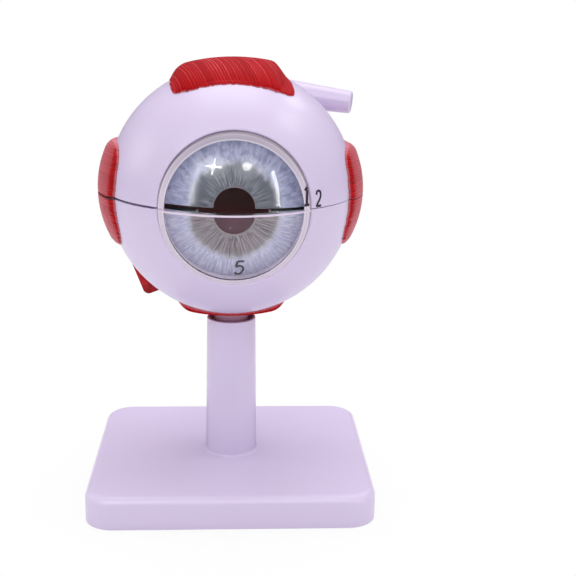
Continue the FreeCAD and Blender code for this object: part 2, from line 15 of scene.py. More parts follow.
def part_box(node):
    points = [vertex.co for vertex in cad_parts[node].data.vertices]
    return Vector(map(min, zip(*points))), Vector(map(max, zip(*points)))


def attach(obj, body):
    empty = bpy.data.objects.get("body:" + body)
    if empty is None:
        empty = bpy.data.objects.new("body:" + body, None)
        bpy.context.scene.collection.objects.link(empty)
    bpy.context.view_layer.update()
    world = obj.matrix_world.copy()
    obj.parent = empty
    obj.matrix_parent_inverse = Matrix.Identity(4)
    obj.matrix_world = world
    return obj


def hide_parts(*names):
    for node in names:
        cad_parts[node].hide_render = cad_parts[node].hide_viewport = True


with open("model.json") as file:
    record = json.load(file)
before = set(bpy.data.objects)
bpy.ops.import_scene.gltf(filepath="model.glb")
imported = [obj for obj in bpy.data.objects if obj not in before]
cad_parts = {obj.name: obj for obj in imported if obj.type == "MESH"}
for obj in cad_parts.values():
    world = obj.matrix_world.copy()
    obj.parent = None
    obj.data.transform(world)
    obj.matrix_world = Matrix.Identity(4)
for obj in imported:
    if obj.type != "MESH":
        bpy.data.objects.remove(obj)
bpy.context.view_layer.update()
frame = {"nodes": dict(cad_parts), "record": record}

MM = 0.001

# ---- sizes and places ----
BALL_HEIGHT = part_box("sclera_lower")[1].z      # the seam of the ball is its equator
BALL_RADIUS = 60.0 * MM
GAZE_TURN = math.radians(1.7)                  # the ball stands turned on its post
LID_TILT = math.radians(0.5)                   # the upper half stands open on one side
LID_GAP = 0.2 * MM                             # and clear of the lower half
INNER_BACK = 2.3 * MM                          # the inner ball's centre is behind the ball's
INNER_DROP = 2.6 * MM                          # and below it
INNER_LIFT = 2.7 * MM                          # its upper half stands raised on its pins
INNER_TILT = math.radians(1.5)                 # and leans to one side
IRIS_RADIUS = 33.0 * MM
IRIS_BULGE = 60.0 * MM                         # radius of its dome
IRIS_REACH = 49.4 * MM                         # its middle is in front of the inner ball's centre
IRIS_THICKNESS = 1.6 * MM
PUPIL_RADIUS = 9.3 * MM
COLLARETTE = 20.6 * MM                         # border between the two rings of the iris

CAMERA_PLACE = Vector((0.6, -524.7, 240.6)) * MM
CAMERA_PITCH = 0.2592                          # radians below the horizon
CAMERA_YAW = 0.0531                            # radians towards +X
CAMERA_ROLL = 0.0148                           # radians
FOCAL_PIXELS = 1080.0
IMAGE_PIXELS = 576.0
SENSOR_WIDTH = 36.0

SEEDS = {                                      # each starts one set of random draws
    "superior_rectus": 11, "inferior_rectus": 23,
    "lateral_rectus_upper": 51, "lateral_rectus_lower": 53,
    "medial_rectus_upper": 57, "medial_rectus_lower": 59,
    "dark": 31, "pale": 37, "streak": 41, "border": (43, 44), "rim": (45, 46),
}


# ---- placing ----
def turn_y(points, angle):
    """Points turned about the Y axis by the right-hand rule."""
    c, s = math.cos(angle), math.sin(angle)
    x, y, z = points[..., 0], points[..., 1], points[..., 2]
    return np.stack([c * x + s * z, y, c * z - s * x], -1)


def turn_z(points, angle):
    """Points turned about the Z axis by the right-hand rule."""
    c, s = math.cos(angle), math.sin(angle)
    x, y, z = points[..., 0], points[..., 1], points[..., 2]
    return np.stack([c * x - s * y, s * x + c * y, z], -1)


def in_eye(points):
    """From the eye's own frame to the place of the eye on its post."""
    return turn_z(points, GAZE_TURN) + np.array([0, 0, BALL_HEIGHT])


def on_lid(points):
    """Place of what sits on the upper half of the ball."""
    hinge = np.array([BALL_RADIUS, 0, 0])
    return in_eye(turn_y(points - hinge, LID_TILT) + hinge + np.array([0, 0, LID_GAP]))


def in_lower_inner(points):
    """Place of what belongs to the lower half of the inner ball."""
    return in_eye(points + np.array([0, INNER_BACK, -INNER_DROP]))


def in_upper_inner(points):
    """Place of what belongs to the upper half of the inner ball."""
    lift = np.array([0, INNER_BACK, INNER_LIFT - INNER_DROP])
    return in_eye(turn_y(points, INNER_TILT) + lift)


# ---- meshes ----
def mesh_piece(name, points, faces, body, replaced=(), flat=0):
    """New piece from corner points and faces of one size, the last of which may be flat."""
    mesh = bpy.data.meshes.new(name)
    mesh.vertices.add(len(points))
    mesh.vertices.foreach_set("co", np.ascontiguousarray(points, np.float32).ravel())
    count = faces.shape[1]
    mesh.loops.add(faces.size)
    mesh.loops.foreach_set("vertex_index", np.ascontiguousarray(faces, np.int32).ravel())
    mesh.polygons.add(len(faces))
    mesh.polygons.foreach_set("loop_start", np.arange(0, faces.size, count, dtype=np.int32))
    mesh.polygons.foreach_set("use_smooth", np.arange(len(faces)) < len(faces) - flat)
    mesh.update(calc_edges=True)
    mesh.validate()
    piece = bpy.data.objects.new(name, mesh)
    bpy.context.scene.collection.objects.link(piece)
    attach(piece, body)
    if replaced:
        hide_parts(*replaced)
    return piece


def mark(piece, **fields):
    """Named values at the points of a piece made of two grids, the same on both or a pair."""
    for label, values in fields.items():
        pair = values if isinstance(values, tuple) else (values, values)
        attribute = piece.data.attributes.new(label, "FLOAT", "POINT")
        attribute.data.foreach_set("value", np.concatenate(pair).ravel().astype(np.float32))


def quads(rows, columns, start=0, around=False):
    """Faces of a grid of points; around closes each row on itself."""
    last = columns if around else columns - 1
    i, j = np.meshgrid(np.arange(rows - 1), np.arange(last), indexing="ij")
    k = (j + 1) % columns
    corner = [i * columns + j, i * columns + k, (i + 1) * columns + k, (i + 1) * columns + j]
    return np.stack(corner, -1).reshape(-1, 4) + start


def layered(top, bottom):
    """Closed plate between two grids of the same size, as (points, faces).

    The faces of the top keep the grid's own turn, those of the bottom are
    turned round, and four strips of quads join the borders.
    """
    rows, columns = top.shape[:2]
    size = rows * columns
    border = np.concatenate([
        np.arange(columns), np.arange(1, rows) * columns + columns - 1,
        (rows - 1) * columns + np.arange(columns - 2, -1, -1),
        np.arange(rows - 2, 0, -1) * columns])
    ahead = np.roll(border, -1)
    wall = np.stack([border, border + size, ahead + size, ahead], -1)
    faces = [quads(rows, columns), quads(rows, columns, size)[:, ::-1], wall]
    points = np.concatenate([top.reshape(-1, 3), bottom.reshape(-1, 3)])
    return points, np.concatenate(faces)


def outward(points, faces, inside, count):
    """Turns all faces round if the first ones point towards an inner point."""
    a, b, c = (points[faces[:count, k]] for k in range(3))
    facing = (np.cross(b - a, c - a) * (a - inside)).sum()
    return faces if facing > 0 else faces[:, ::-1]


# ---- noise ----
OCTAVES = 5


def wander(values, seed):
    """Smooth random curve of a value: a sum of sines of random pitch and phase."""
    random = np.random.default_rng(seed)
    total = np.zeros_like(values)
    for octave in range(OCTAVES):
        pitch = random.uniform(0.7, 1.3) * 2 ** octave
        total += np.sin(pitch * values + random.uniform(0, 2 * math.pi)) / 1.6 ** octave
    return total / 2


# ---- muscles ----
FIBRE_WIDTH = 1.3 * MM
FIBRE_DEPTH = 0.22 * MM                        # of the grooves between fibres
FIBRE_COUNT = 200
FIBRE_WANDER = 0.3 * MM
TORN_LENGTH = 0.9 * MM                         # the most that is torn off a fibre's end
RIM_WIDTH = 0.5 * MM                           # of the paler border
FULL_THICKNESS = 1.2 * MM                      # thinner muscle has shallower grooves
LEAST_THICKNESS = 0.25 * MM
LEAST_RISE = 0.12 * MM
OUTER_ALLOWANCE = 0.05 * MM                    # the fibres stay this far inside the CAD form
BED_RADIUS = BALL_RADIUS + 0.06 * MM
PAD_RADIUS = BALL_RADIUS + 0.8 * MM            # thin rim of the broad muscles
SEAM_GAP = 0.06 * MM                           # between a side muscle and the seam


def fibre_profile(across, seed):
    """Height from 0 to 1, tone and number of the fibre at places across a bundle.

    The places are cut into strips of random width; each strip is rounded: its
    height is sqrt(1 - 0.92 * offset^2), with an offset from -1 to 1 across the
    strip, times the strip's own random height close to 1.
    """
    random = np.random.default_rng(seed)
    edges = np.cumsum(random.uniform(0.7, 1.3, FIBRE_COUNT)) * FIBRE_WIDTH
    edges -= edges[FIBRE_COUNT // 2]
    strip = np.clip(np.searchsorted(edges, across), 1, FIBRE_COUNT - 1)
    low, high = edges[strip - 1], edges[strip]
    offset = np.clip(2 * (across - low) / (high - low) - 1, -1, 1)
    rise = random.uniform(0.93, 1.0, FIBRE_COUNT)[strip]
    tone = random.uniform(0.0, 1.0, FIBRE_COUNT)[strip]
    return np.sqrt(1 - 0.92 * offset ** 2) * rise, tone, strip


def muscle(node, body, place, half, outer, bed, power=4, taper=0.0, lean=0.0, bow=0.0,
           fibre_lean=0.0, ease=1.3 * MM, columns=320, rows=100, first=-1.0, painted_sheen=0.06):
    """Flat muscle of parallel fibres lying on the ball, in place of its CAD node.

    A square of (across, along) from -1 to 1 is squeezed onto a rounded outline:
    u = across * (1 - along^power / 2)^(1 / power), and v the same the other way
    round.  With first at 0 it is only the half beyond a straight cut.  outer and
    bed give the height of the muscle and of the ball at (u, v).  The fibres run
    along v, leaning a little, side by side over the back of the muscle, and their
    ends are torn, each by a random length.  The border is rounded over the width
    ease as a quarter circle, sqrt(1 - (1 - share)^2).
    """
    seed = SEEDS[node]
    across = np.linspace(first, 1, columns)
    along = np.linspace(-1, 1, rows)
    along = np.sign(along) * np.abs(along) ** 0.8
    t, s = np.meshgrid(along, across, indexing="ij")
    squeezed = s * (1 - np.abs(t) ** power / 2) ** (1 / power)
    v = (half[1] - bow * squeezed ** 2) * t * (1 - np.abs(s) ** power / 2) ** (1 / power)
    u = (half[0] + taper * v) * squeezed + lean * v
    step = np.hypot(np.diff(u, axis=1), np.diff(outer(u, v), axis=1))
    length = np.concatenate([np.zeros((rows, 1)), np.cumsum(step, axis=1)], axis=1)
    if first < 0:
        length -= length[:, columns // 2:columns // 2 + 1]
    fibre_at = length + fibre_lean * v + FIBRE_WANDER * wander(4 * t + 3 * s, seed + 1)
    height, tone, strip = fibre_profile(fibre_at, seed)
    torn = np.random.default_rng(seed + 2).uniform(0, 1, (2, FIBRE_COUNT)) ** 1.5 * TORN_LENGTH
    v -= np.sign(t) * np.where(t < 0, torn[0][strip], torn[1][strip]) * np.abs(t) ** 10
    u -= np.sign(s) * np.abs(s) ** 8 * (0.3 + 0.3 * wander(9 * t, seed + 3)) * MM
    side = np.where(s > 0, 1 - s, s - first if first < 0 else 1.0)
    edge = np.minimum(side * half[0], (1 - np.abs(t)) * half[1])
    rounding = np.clip(edge / ease, 0, 1)
    rounding = np.sqrt(1 - (1 - rounding) ** 2)
    rim = np.clip(edge / RIM_WIDTH, 0, 1)
    low = bed(u, v)
    thickness = np.maximum(outer(u, v) - low - OUTER_ALLOWANCE, LEAST_THICKNESS)
    relief = (1 - height) * FIBRE_DEPTH * np.clip(thickness / FULL_THICKNESS, 0.3, 1)
    rise = thickness * (1 - 0.75 * (1 - rounding)) - relief * (0.4 + 0.6 * rounding)
    rise = np.maximum(rise, LEAST_RISE)
    points, faces = layered(place(u, v, low + rise), place(u, v, low))
    faces = outward(points, faces, np.array([0, 0, BALL_HEIGHT]), len(faces) // 3)
    flat = len(faces) - 2 * (rows - 1) * (columns - 1)
    piece = mesh_piece(node + "_fibres", points, faces, body, [node], flat)
    mark(piece, fibre=height, tone=tone, rim=rim, run=(v + half[1]) / (2 * half[1]))
    piece.data.materials.append(muscle_red(painted_sheen))


def ball_height_at(radius, centre, a, b):
    """Height of a ball over a plane: centre + sqrt(radius^2 - a^2 - b^2)."""
    return centre + np.sqrt(np.maximum(radius ** 2 - a ** 2 - b ** 2, 0))


def barrel_height_at(x, y, rise, arch, crown, shoulders, fall):
    """Height of a barrel's back over the plane of the seam.

    The barrel's radius is a wide arc along X, arch - crown + sqrt(crown^2 - x^2),
    that turns into a straight fall beyond each shoulder; the lesser of them is
    taken softly, as -k * log(sum(exp(-radius / k))).  Its axis lies along X.
    """
    arc = arch - crown + np.sqrt(crown ** 2 - np.clip(x, -crown, crown) ** 2)
    falls = []
    for shoulder, sign in zip(shoulders, (-1, 1)):
        start = arch - crown + math.sqrt(crown ** 2 - shoulder ** 2)
        falls.append(start - fall * (sign * x - shoulder))
    soft = 0.9 * MM
    radius = -soft * np.log(sum(np.exp(-(part - arch) / soft) for part in [arc] + falls)) + arch
    return BALL_RADIUS + rise - arch + np.sqrt(np.maximum(radius ** 2 - y ** 2, 0))


def superior_rectus():
    """Broad muscle on top of the ball; u runs along X and v along Y."""
    x0, y0 = -1.7 * MM, -3.5 * MM
    swell, swell_at, swell_width = 1.0 * MM, 29.3 * MM, 2.2 * MM

    def outer(u, v):
        x = x0 + u - 2.0 * MM
        back = barrel_height_at(x, y0 + v, rise=3.9 * MM, arch=43.0 * MM, crown=95.0 * MM,
                                shoulders=(26.3 * MM, 18.3 * MM), fall=1.35)
        back += swell * np.exp(-((x + swell_at) / swell_width) ** 2)
        return np.maximum(back, ball_height_at(PAD_RADIUS, 0, x0 + u, y0 + v))

    def bed(u, v):
        return ball_height_at(BED_RADIUS, 0, x0 + u, y0 + v)

    def place(u, v, height):
        return on_lid(np.stack([x0 + u, y0 + v, height], -1))

    muscle("superior_rectus", "lid", place, (28.3 * MM, 25.6 * MM), outer, bed, power=6,
           taper=-0.06, lean=-0.09, bow=1.5 * MM, fibre_lean=0.25)


def inferior_rectus():
    """Thin muscle under the ball; u runs along X and v along Y."""
    y0 = 3.0 * MM

    def outer(u, v):
        back = barrel_height_at(u, y0 + v, rise=1.9 * MM, arch=48.0 * MM, crown=100.0 * MM,
                                shoulders=(22.5 * MM, 22.5 * MM), fall=1.1)
        return np.maximum(back, ball_height_at(PAD_RADIUS, 0, u, y0 + v))

    def bed(u, v):
        return ball_height_at(BED_RADIUS, 0, u, y0 + v)

    def place(u, v, height):
        return in_eye(np.stack([u, y0 + v, -height], -1))

    muscle("inferior_rectus", "globe_lower", place, (28.0 * MM, 17.0 * MM), outer, bed, rows=60)


def side_rectus(node, side, up):
    """Half of a side muscle; u runs away from the seam, up or down, and v along Y."""
    seat = on_lid if up > 0 else in_eye
    y0, z0 = 2.5 * MM, -0.25 * MM
    back_radius, back_centre, back_y, back_z = 49.3 * MM, 15.5 * MM, 1.5 * MM, 1.0 * MM

    def outer(u, v):
        return ball_height_at(back_radius, back_centre, y0 + v - back_y, up * (SEAM_GAP + u) - back_z)

    def bed(u, v):
        return ball_height_at(BED_RADIUS, 0, y0 + v, SEAM_GAP + u)

    def place(u, v, height):
        return seat(np.stack([side * height, y0 + v, up * (SEAM_GAP + u)], -1))

    muscle(node, "lid" if up > 0 else "globe_lower", place, (24.25 * MM + up * z0 - SEAM_GAP, 28.0 * MM),
           outer, bed, ease=3.5 * MM, columns=150, first=0.0, painted_sheen=0.5)


# ---- cornea ----
CORNEA_ROWS = 101
CORNEA_COLUMNS = 201
CORNEA_WALL = 2.4 * MM
CORNEA_RADIUS = 49.55 * MM                     # of its dome
CORNEA_REACH = 65.69 * MM                      # apex in front of the centre of the ball
CORNEA_RIM = 32.9 * MM                         # where the dome turns into the shoulder
CORNEA_RIM_DEPTH = -53.2 * MM
CORNEA_BEND = (33.84 * MM, -52.0 * MM)         # middle of the shoulder
CORNEA_SIDE = 34.15 * MM                       # outside of the straight wall
CORNEA_SHOULDER = -50.2 * MM                   # where the wall begins
CORNEA_BACK = -42.0 * MM
RING_SHIFT = (0.3 * MM, 0.2 * MM)              # the frosted ring lies a little off the middle
RING_START, RING_FULL = 30.95 * MM, 31.25 * MM # its inner edge, from the middle
RING_HIGHLIGHT_END = 31.7 * MM                     # of the painted highlight line inside it
RING_GAP_SHADE = (33.4 * MM, 33.9 * MM)             # the painted shade line of the gap outside it
RING_DEPTH = -49.2 * MM                        # the outer face is frosted in front of this


def dome_outline(radius, reach, rim, further):
    """Outline from the front pole over a dome and on through further points.

    Gives the distance from the axis and the depth at any share of its length.
    """
    turn = np.linspace(0, math.asin(rim / radius), 200)
    line = np.stack([radius * np.sin(turn), radius - reach - radius * np.cos(turn)], -1)
    line = np.concatenate([line, further])
    length = np.concatenate([[0], np.cumsum(np.linalg.norm(np.diff(line, axis=0), axis=1))])
    return lambda share: (np.interp(share * length[-1], length, line[:, 0]),
                          np.interp(share * length[-1], length, line[:, 1]))


def cornea_half(node, upper):
    """Half of the clear cap: a shell between two turned outlines.

    A half square of (across, up) is rounded into a half disc by
    u = across * sqrt(1 - up^2 / 2) and v = up * sqrt(1 - across^2 / 2).  The distance
    from the middle of the disc is the share of the way along the outline, from the
    front pole over dome and shoulder to the back of the wall.  The shoulder is the
    parabola through the ends of dome and wall and the bend between them.
    """
    up, across = np.meshgrid(np.linspace(0, 1, CORNEA_ROWS), np.linspace(-1, 1, CORNEA_COLUMNS),
                             indexing="ij")
    u = across * np.sqrt(1 - up ** 2 / 2)
    v = up * np.sqrt(1 - across ** 2 / 2) * (1 if upper else -1)
    share = np.hypot(u, v)
    part = np.linspace(0, 1, 12)[1:, None]
    shoulder = (np.array([(CORNEA_RIM, CORNEA_RIM_DEPTH)]) * (1 - part) * (1 - 2 * part)
                + np.array([CORNEA_BEND]) * 4 * part * (1 - part)
                + np.array([(CORNEA_SIDE, CORNEA_SHOULDER)]) * part * (2 * part - 1))
    inside = CORNEA_SIDE - CORNEA_WALL
    outlines = (dome_outline(CORNEA_RADIUS, CORNEA_REACH, CORNEA_RIM,
                             np.concatenate([shoulder, [(CORNEA_SIDE, CORNEA_BACK)]])),
                dome_outline(CORNEA_RADIUS - CORNEA_WALL, CORNEA_REACH - CORNEA_WALL,
                             CORNEA_RIM - CORNEA_WALL,
                             np.array([(inside, CORNEA_SHOULDER), (inside, CORNEA_BACK)])))
    place = on_lid if upper else in_eye
    grids, reach, depth = [], [], []
    for outline in outlines:
        r, y = outline(share)
        way = r / np.maximum(share, 1e-9)
        grids.append(place(np.stack([way * u, y, way * v], -1)))
        reach.append(np.hypot(way * u + RING_SHIFT[0], way * v + RING_SHIFT[1]))
        depth.append(y)
    points, faces = layered(*grids)
    squares = (CORNEA_ROWS - 1) * (CORNEA_COLUMNS - 1)
    faces = outward(points, faces, place(np.zeros(3)), squares // 2)
    piece = mesh_piece(node + "_cap", points, faces, "lid" if upper else "globe_lower",
                       [node], len(faces) - 2 * squares)
    mark(piece, reach=tuple(reach), depth=tuple(depth), inner=(0 * share, 0 * share + 1))
    piece.data.materials.append(clear_cornea())


# ---- iris ----
IRIS_COLUMNS = 560
IRIS_ROWS = 56
RAY_COUNT = 130
PALE_COUNT = 150
DARK_WIDTH = (0.24 * MM, 0.3 * MM)             # of the dark rays: upper half, lower half
PALE_WIDTH = 0.17 * MM
STREAK_WIDTH = 0.4 * MM                        # in the outer ring
FRINGE_WIDTH = 1.6 * MM                        # of the fuzz along the border
BORDER_BLEND = 3.4 * MM
RIM_BLEND = 0.5 * MM
IRIS_SINK = 0.14 * MM                          # so that its rays stay inside the CAD form


def iris_dome(radius):
    """Front of the iris: a shallow dome, depth = -reach + bulge - sqrt(bulge^2 - r^2)."""
    return -IRIS_REACH + IRIS_BULGE - np.sqrt(IRIS_BULGE ** 2 - radius ** 2)


def rays(angle, radius, seed, count, inner, outer, width):
    """Strength from 0 to 1 of fine wandering lines that run out from the pupil.

    Each line has its own angle, length and width; across it the strength falls
    off as a bell curve, along it as a smooth window from its start to its end.
    """
    random = np.random.default_rng(seed)
    strength = np.zeros_like(angle)
    for turn in range(count):
        middle = 2 * math.pi * (turn + random.uniform(-0.4, 0.4)) / count
        start = inner + random.uniform(0, 0.25) * (outer - inner)
        end = start + random.uniform(0.35, 0.95) * (outer - start)
        bend = random.uniform(-0.02, 0.02) * (radius - inner) / (outer - inner)
        bend = bend + 0.004 * np.sin(radius / MM * random.uniform(0.5, 1.2) + middle * 7)
        apart = (angle - middle - bend + math.pi) % (2 * math.pi) - math.pi
        breadth = random.uniform(0.5, 1.3) * width
        window = np.clip((radius - start) / (0.8 * MM), 0, 1) * np.clip((end - radius) / (4 * MM), 0, 1)
        bell = np.exp(-(apart * radius / breadth) ** 2) * window * random.uniform(0.55, 1.0)
        strength = np.maximum(strength, bell)
    return strength


def iris_half(node, upper):
    """Half of the iris: a domed plate with fine raised rays in two rings."""
    first = 0.0 if upper else math.pi
    angles = np.linspace(first, first + math.pi, IRIS_COLUMNS)
    radii = np.linspace(PUPIL_RADIUS, IRIS_RADIUS - 0.1 * MM, IRIS_ROWS)
    r, a = np.meshgrid(radii, angles, indexing="ij")
    reach = COLLARETTE + (-3.0 if upper else 1.5) * MM
    dark = rays(a, r, SEEDS["dark"], RAY_COUNT, PUPIL_RADIUS + 0.2 * MM, reach,
                DARK_WIDTH[0 if upper else 1])
    pale = rays(a, r, SEEDS["pale"], PALE_COUNT, PUPIL_RADIUS, reach + 2 * MM, PALE_WIDTH)
    streak = rays(a, r, SEEDS["streak"], RAY_COUNT, COLLARETTE - 1 * MM, IRIS_RADIUS + 3 * MM,
                  STREAK_WIDTH)
    coarse, fine = SEEDS["border"]
    border = COLLARETTE + 0.7 * MM * wander(5 * a, coarse) + 0.5 * MM * wander(37 * a, fine)
    fringe = np.exp(-((r - border) / FRINGE_WIDTH) ** 2)
    ring = np.clip((r - border) / BORDER_BLEND + 0.5, 0, 1)
    ring = ring * ring * (3 - 2 * ring)
    coarse, fine = SEEDS["rim"]
    rim = IRIS_RADIUS - 0.75 * MM + 0.3 * MM * wander(6 * a, coarse) + 0.12 * MM * wander(43 * a, fine)
    rim = np.clip((r - rim) / RIM_BLEND + 0.5, 0, 1)
    relief = (0.10 * pale - 0.12 * dark + 0.06 * streak) * MM
    relief += 0.12 * MM * np.exp(-((r - PUPIL_RADIUS) / (0.5 * MM)) ** 2)
    relief += 0.08 * MM * fringe
    front = np.stack([r * np.cos(a), iris_dome(r) - relief + IRIS_SINK, r * np.sin(a)], -1)
    back = np.stack([r * np.cos(a), iris_dome(r) + IRIS_THICKNESS, r * np.sin(a)], -1)
    place = in_upper_inner if upper else in_lower_inner
    points, faces = layered(place(front), place(back))
    faces = outward(points, faces, place(np.zeros(3)), IRIS_COLUMNS * 20)
    piece = mesh_piece(node + "_face", points, faces,
                       "inner_upper" if upper else "inner_lower", [node])
    mark(piece, dark=dark, pale=pale, streak=streak, ring=ring, rim=rim, fringe=fringe, turn=a,
         out=(r - PUPIL_RADIUS) / (IRIS_RADIUS - PUPIL_RADIUS))
    piece.data.materials.append(iris_paint(upper))


# ---- numbers ----
PEN_SHARE = 0.075                              # half the pen's width, as a share of the height
INK_THICKNESS = 0.07 * MM
DIGITS = {                                     # strokes on a field one high
    "1": [[(-0.16, 0.28), (0.02, 0.46), (0.02, 0.5), (0.02, 0.0), (0.02, -0.5)],
          [(-0.2, -0.5), (0.24, -0.5)]],
    "2": [[(-0.27, 0.26), (-0.2, 0.45), (0.02, 0.5), (0.24, 0.42), (0.28, 0.2), (0.12, -0.08),
           (-0.12, -0.3), (-0.29, -0.5)], [(-0.31, -0.49), (0.32, -0.49)]],
    "5": [[(0.27, 0.5), (-0.2, 0.5)], [(-0.2, 0.5), (-0.24, 0.06)],
          [(-0.24, 0.06), (0.0, 0.15), (0.24, 0.04), (0.3, -0.18), (0.2, -0.42), (-0.03, -0.51),
           (-0.29, -0.4)]],
}


def smooth_path(points, count=28):
    """Points along a curve through the given points, each span a cubic (Catmull-Rom)."""
    given = np.array(points, float)
    if len(given) == 2:
        return given[0] + np.linspace(0, 1, count)[:, None] * (given[1] - given[0])
    padded = np.vstack([2 * given[0] - given[1], given, 2 * given[-1] - given[-2]])
    place = np.linspace(0, len(given) - 1, count)
    span = np.minimum(place.astype(int), len(given) - 2)
    f = (place - span)[:, None]
    p0, p1, p2, p3 = (padded[span + k] for k in range(4))
    return 0.5 * (2 * p1 + (p2 - p0) * f + (2 * p0 - 5 * p1 + 4 * p2 - p3) * f ** 2
                  + (3 * p1 - p0 - 3 * p2 + p3) * f ** 3)


def number(digit, height, width, surface, body, slant=0.0):
    """Printed number: each stroke is a thin ribbon of ink laid on a surface.

    A stroke's two edges lie half a pen's width to each side of its path; surface
    turns (across, up, lift) into a place.
    """
    pen = PEN_SHARE * height
    parts, faces, size = [], [], 0
    for stroke in DIGITS[digit]:
        path = smooth_path(stroke) @ np.array([[width, 0], [slant * height, height]])
        along = np.gradient(path, axis=0)
        along /= np.linalg.norm(along, axis=1)[:, None]
        normal = np.stack([-along[:, 1], along[:, 0]], -1)
        flat = np.stack([path - normal * pen, path + normal * pen], 1)
        top = surface(flat[..., 0], flat[..., 1], INK_THICKNESS)
        low = surface(flat[..., 0], flat[..., 1], 0.0)
        points, sides = layered(top, low)
        middle = surface(np.zeros(1), np.zeros(1), -5 * MM)[0]
        parts.append(points)
        faces.append(outward(points, sides, middle, len(path) - 1) + size)
        size += len(points)
    piece = mesh_piece("number_" + digit, np.concatenate(parts), np.concatenate(faces), body)
    piece.data.materials.append(number_ink())


# ---- shared effects ----
def colour(red, green, blue):
    """Linear colour from a colour as it looks, each part from 0 to 255."""
    parts = [v / 255 for v in (red, green, blue)]
    return [v / 12.92 if v <= 0.04045 else ((v + 0.055) / 1.055) ** 2.4 for v in parts] + [1.0]


def effect(name, inputs, outputs):
    """Empty node group with named sockets: (tree, input node, output node)."""
    tree = bpy.data.node_groups.new(name, "ShaderNodeTree")
    for label, kind, value in inputs:
        socket = tree.interface.new_socket(label, in_out="INPUT", socket_type=kind)
        socket.default_value = value
    for label, kind in outputs:
        tree.interface.new_socket(label, in_out="OUTPUT", socket_type=kind)
    return tree, tree.nodes.new("NodeGroupInput"), tree.nodes.new("NodeGroupOutput")


def add(tree, kind, inputs=(), **settings):
    """New node; inputs are (socket, value) pairs, a value being a number or a socket."""
    node = tree.nodes.new("ShaderNode" + kind)
    for key, value in settings.items():
        setattr(node, key, value)
    for key, value in inputs:
        if isinstance(value, bpy.types.NodeSocket):
            tree.links.new(value, node.inputs[key])
        else:
            node.inputs[key].default_value = value
    return node


def math_node(tree, operation, a, b=0.5, clamp=False):
    """Result of a calculation with one or two values or sockets."""
    node = add(tree, "Math", [(0, a), (1, b)], operation=operation, use_clamp=clamp)
    return node.outputs[0]


def times(tree, a, b):
    """Product of two values or sockets."""
    return math_node(tree, "MULTIPLY", a, b)


def mix_colour(tree, factor, a, b):
    """Colour between a and b."""
    return add(tree, "Mix", [(0, factor), (6, a), (7, b)], data_type="RGBA").outputs[2]


def coats(tree, body, *laid):
    """Paints laid over a colour in turn, each given as (how thickly, paint)."""
    for factor, paint in laid:
        body = mix_colour(tree, factor, body, paint)
    return body


def remap(tree, value, low, high, to_low=0.0, to_high=1.0):
    """Value taken from one range to another and held inside it."""
    node = add(tree, "MapRange", [("Value", value), ("From Min", low), ("From Max", high),
                                  ("To Min", to_low), ("To Max", to_high)])
    return node.outputs["Result"]


def here(tree):
    """Place of the point that is shaded, in metres."""
    return add(tree, "TexCoord").outputs["Object"]


def part_of(tree, vector, axis):
    """One of the three parts of a vector."""
    return add(tree, "SeparateXYZ", [(0, vector)]).outputs[axis]


def length_of(tree, vector):
    """Length of a vector."""
    return add(tree, "VectorMath", [(0, vector)], operation="LENGTH").outputs["Value"]


def height_over(tree, level):
    """Height of the point over a level."""
    return math_node(tree, "SUBTRACT", part_of(tree, here(tree), "Z"), level)


def unsigned(tree, value):
    """Value without its sign."""
    return math_node(tree, "ABSOLUTE", value)


def level_face(tree):
    """One on faces that lie within about 14 degrees of level, as those sawn along the seam do."""
    up = part_of(tree, add(tree, "NewGeometry").outputs["Normal"], "Z")
    return math_node(tree, "GREATER_THAN", unsigned(tree, up), 0.97)


def noise(tree, where, scale, detail):
    """Cloudy noise between 0 and 1."""
    return add(tree, "TexNoise", [("Vector", where), ("Scale", scale), ("Detail", detail)]).outputs["Fac"]


def field(tree, label):
    """Value that the mesh carries by this name."""
    return add(tree, "Attribute", attribute_name=label).outputs["Fac"]


def build_moulded():
    """Skin of a moulded plastic: soft mottling, faint orange peel, uneven gloss."""
    tree, given, made = effect(
        "moulded_skin",
        [("Colour", "NodeSocketColor", (1, 1, 1, 1)), ("Shade", "NodeSocketColor", (1, 1, 1, 1)),
         ("Mottle", "NodeSocketFloat", 0.3), ("Gloss", "NodeSocketFloat", 0.35)],
        [("Colour", "NodeSocketColor"), ("Roughness", "NodeSocketFloat"), ("Height", "NodeSocketFloat")])
    where = here(tree)
    share = times(tree, noise(tree, where, 38.0, 3.0), given.outputs["Mottle"])
    tint = mix_colour(tree, share, given.outputs["Colour"], given.outputs["Shade"])
    uneven = remap(tree, noise(tree, where, 260.0, 4.0), 0.3, 0.7, -0.05, 0.06)
    tree.links.new(tint, made.inputs["Colour"])
    tree.links.new(math_node(tree, "ADD", given.outputs["Gloss"], uneven, True), made.inputs["Roughness"])
    tree.links.new(noise(tree, where, 900.0, 2.0), made.inputs["Height"])
    return tree


MOULDED = build_moulded()


def material(name, **constants):
    """New material with its Principled shader and plain numbers on its sockets."""
    made = bpy.data.materials.new(name)
    made.use_nodes = True
    shader = made.node_tree.nodes["Principled BSDF"]
    for label, value in constants.items():
        shader.inputs[label.replace("_", " ")].default_value = value
    return made, made.node_tree, shader


def wire(socket, shader, label="Base Color"):
    """Feeds a socket of the shader."""
    shader.id_data.links.new(socket, shader.inputs[label])


def bump(tree, shader, height, distance):
    """Feeds a height in metres into the shader's normal."""
    node = add(tree, "Bump", [("Height", height), ("Distance", distance), ("Strength", 1.0)])
    wire(node.outputs["Normal"], shader, "Normal")


